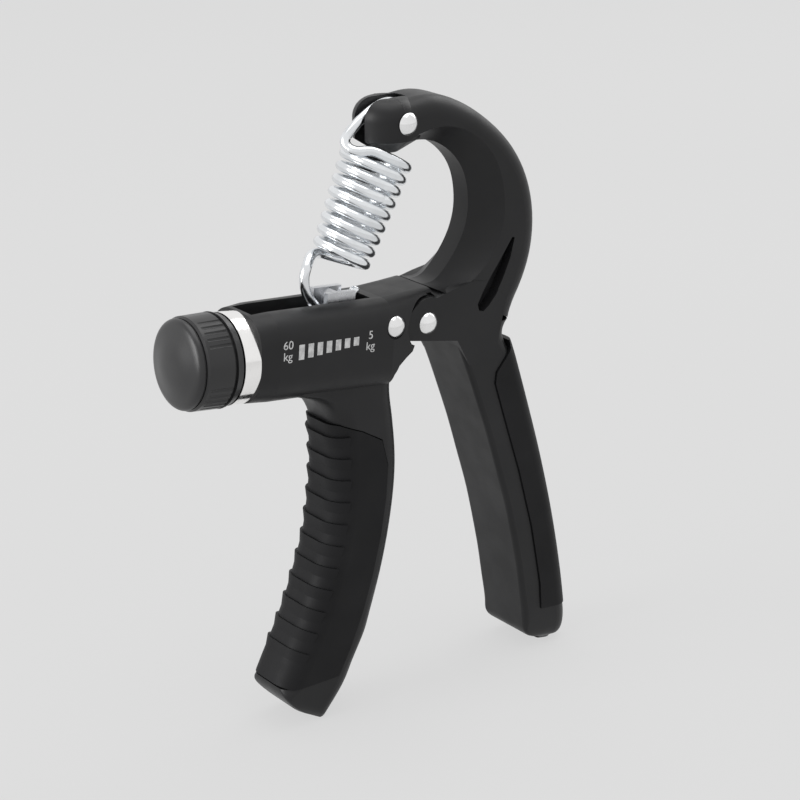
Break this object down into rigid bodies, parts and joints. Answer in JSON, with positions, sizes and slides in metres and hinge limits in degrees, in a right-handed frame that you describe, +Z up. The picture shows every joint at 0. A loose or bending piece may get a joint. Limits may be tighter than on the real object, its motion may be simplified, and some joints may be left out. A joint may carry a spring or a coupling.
{
  "type": "hand grip strengthener",
  "caption": "Adjustable hand grip strengthener: two hinged black handles, a coil spring hooked to an arch, and a screw carriage set by an end knob.",
  "frame": {"origin": "on the floor plane under the middle of the overall width and thickness, with both handle ends standing on it", "axes": "+X from the tension knob towards the palm handle, +Y through the thickness away from the printed face, +Z up"},
  "size_m": [0.122, 0.025, 0.1602],
  "materials": {
    "handle_plastic": "black injection-moulded, fine satin texture",
    "grip_rubber": "black soft-touch thermoplastic rubber, matte",
    "knob_plastic": "black moulded plastic, semi-gloss",
    "rivet_steel": "polished domed heads",
    "spring_wire": "bright zinc-plated spring steel",
    "collar_steel": "polished ring",
    "zinc_plate": "zinc-plated steel",
    "brass": "turned",
    "bushing_plastic": "moulded acetal",
    "print_ink": "white pad-printed ink"
  },
  "bodies": {
    "rear": {"rear_handle": "handle_plastic", "rear_grip": "grip_rubber", "pivot_pin": "rivet_steel", "pivot_washers": "zinc_plate", "arch_pin": "rivet_steel"},
    "front": {"front_handle": "handle_plastic", "front_grip": "grip_rubber", "hinge_plate": "zinc_plate", "link_rivet": "rivet_steel", "collar_ring": "collar_steel", "screw_bushing": "bushing_plastic", "end_bearing": "bushing_plastic", "scale_marks": "print_ink"},
    "knob": {"knob_body": "knob_plastic", "knob_cap": "knob_plastic", "knob_nut": "zinc_plate", "lead_screw": "zinc_plate", "thrust_washer": "zinc_plate", "screw_clip": "zinc_plate"},
    "carriage_slider": {"carriage": "zinc_plate", "carriage_nut": "brass", "carriage_pin": "zinc_plate"},
    "spring_top": {"spring_upper": "spring_wire"},
    "spring_mid": {"spring_middle": "spring_wire"},
    "spring_bottom": {"spring_lower": "spring_wire"}
  },
  "joints": [
    {"name": "squeeze", "type": "hinge", "parent": "rear", "child": "front", "pos_m": [0.00977, 0, 0.1028], "axis": [0, -1, 0], "range_deg": [0, 32], "stiffness_Nm_per_rad": 4, "springref_deg": -17.19},
    {"name": "knob_turn", "type": "hinge", "parent": "front", "child": "knob", "pos_m": [-0.04653, 0, 0.1022], "axis": [0.9968, 0, -0.0797], "range_deg": [-2886, 546]},
    {"name": "carriage_slide", "type": "slide", "parent": "front", "child": "carriage_slider", "axis": [0.9968, 0, -0.0797], "range_m": [-0.016, 0.003]},
    {"name": "spring_swing", "type": "hinge", "parent": "rear", "child": "spring_top", "pos_m": [0.00437, 0, 0.1546], "axis": [0, 1, 0], "range_deg": [-3.3, 17.1], "deforming": ["spring_upper"]},
    {"name": "spring_preload", "type": "slide", "parent": "spring_top", "child": "spring_mid", "axis": [-0.3736, 0, -0.9276], "range_m": [-0.0013, 0.0069], "deforming": ["spring_middle"]},
    {"name": "spring_stretch", "type": "slide", "parent": "spring_mid", "child": "spring_bottom", "axis": [-0.0818, 0, -0.9966], "range_m": [0, 0.0131], "deforming": ["spring_lower"]}
  ],
  "couplings": [
    {"joint": "knob_turn", "follows": "carriage_slide", "rad_per_m": 3141.6},
    {"joint": "spring_swing", "follows": "carriage_slide", "rad_per_m": -18.53},
    {"joint": "spring_preload", "follows": "carriage_slide", "ratio": -0.424},
    {"joint": "spring_stretch", "follows": "squeeze", "m_per_rad": 0.0232}
  ]
}
